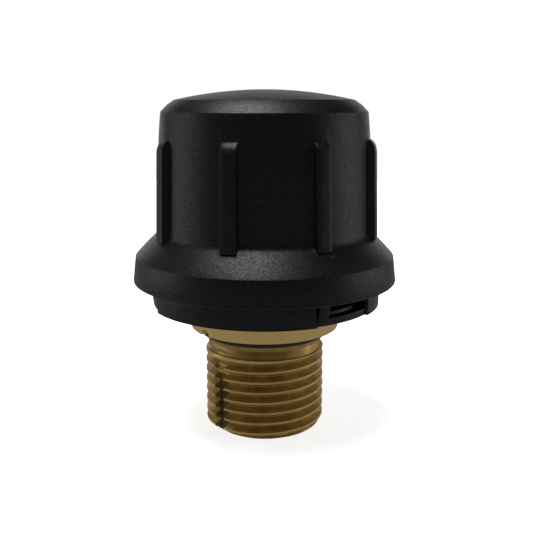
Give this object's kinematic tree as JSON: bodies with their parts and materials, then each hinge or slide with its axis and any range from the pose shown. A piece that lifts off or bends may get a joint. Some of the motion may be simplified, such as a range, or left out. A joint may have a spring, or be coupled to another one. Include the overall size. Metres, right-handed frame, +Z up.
{
  "type": "automatic air vent",
  "caption": "Compact float air vent: brass male thread with a drain slot, sealed flange and float chamber under a black ribbed hand-grip hood with outlet windows.",
  "frame": {"origin": "centre of the thread's end face, which is the lowest point", "axes": "+Z up the thread axis towards the hood's dome; the viewed front faces -Y, with +X to its right"},
  "size_m": [0.0456, 0.0456, 0.0586],
  "materials": {
    "hood_plastic": "fine mould grain, satin",
    "ring_plastic": "satin",
    "body_brass": "machined, slightly tanned",
    "cover_brass": "machined",
    "stainless": "brushed",
    "spring_steel": "oiled",
    "seal_rubber": "matt",
    "float_plastic": "matt",
    "cap_plastic": "satin",
    "fibre": "matt vulcanised fibre"
  },
  "bodies": {
    "vent": {"hood": "hood_plastic", "base_ring": "ring_plastic", "brass_body": "body_brass", "socket_o_ring": "seal_rubber", "retaining_ring": "spring_steel", "chamber_cover": "cover_brass", "cover_o_ring": "seal_rubber", "valve_seat": "stainless", "seat_gasket": "seal_rubber", "swelling_discs": "fibre", "vent_cap": "cap_plastic", "valve_guide": "cover_brass", "valve_spring": "spring_steel", "lever_bracket": "stainless", "bracket_screws": "stainless", "lever_pin": "stainless", "inlet_baffle": "stainless"},
    "float": {"float_shell": "float_plastic", "float_lid": "float_plastic", "float_link": "stainless"},
    "lever": {"lever": "stainless"},
    "valve": {"valve_plug": "cover_brass", "valve_seal": "seal_rubber", "stem_clip": "spring_steel"}
  },
  "joints": [
    {"name": "float_rise", "type": "slide", "parent": "vent", "child": "float", "axis": [0, 0, 1], "range_m": [0, 0.003]},
    {"name": "lever_swing", "type": "hinge", "parent": "vent", "child": "lever", "pos_m": [-0.0085, 0, 0.0418], "axis": [0, -1, 0], "range_deg": [0, 20.23]},
    {"name": "valve_lift", "type": "slide", "parent": "vent", "child": "valve", "axis": [0, 0, 1], "range_m": [0, 0.00106], "deforming": ["valve_spring"]}
  ],
  "couplings": [
    {"joint": "lever_swing", "follows": "float_rise", "rad_per_m": 117.65},
    {"joint": "valve_lift", "follows": "float_rise", "ratio": 0.35294}
  ]
}
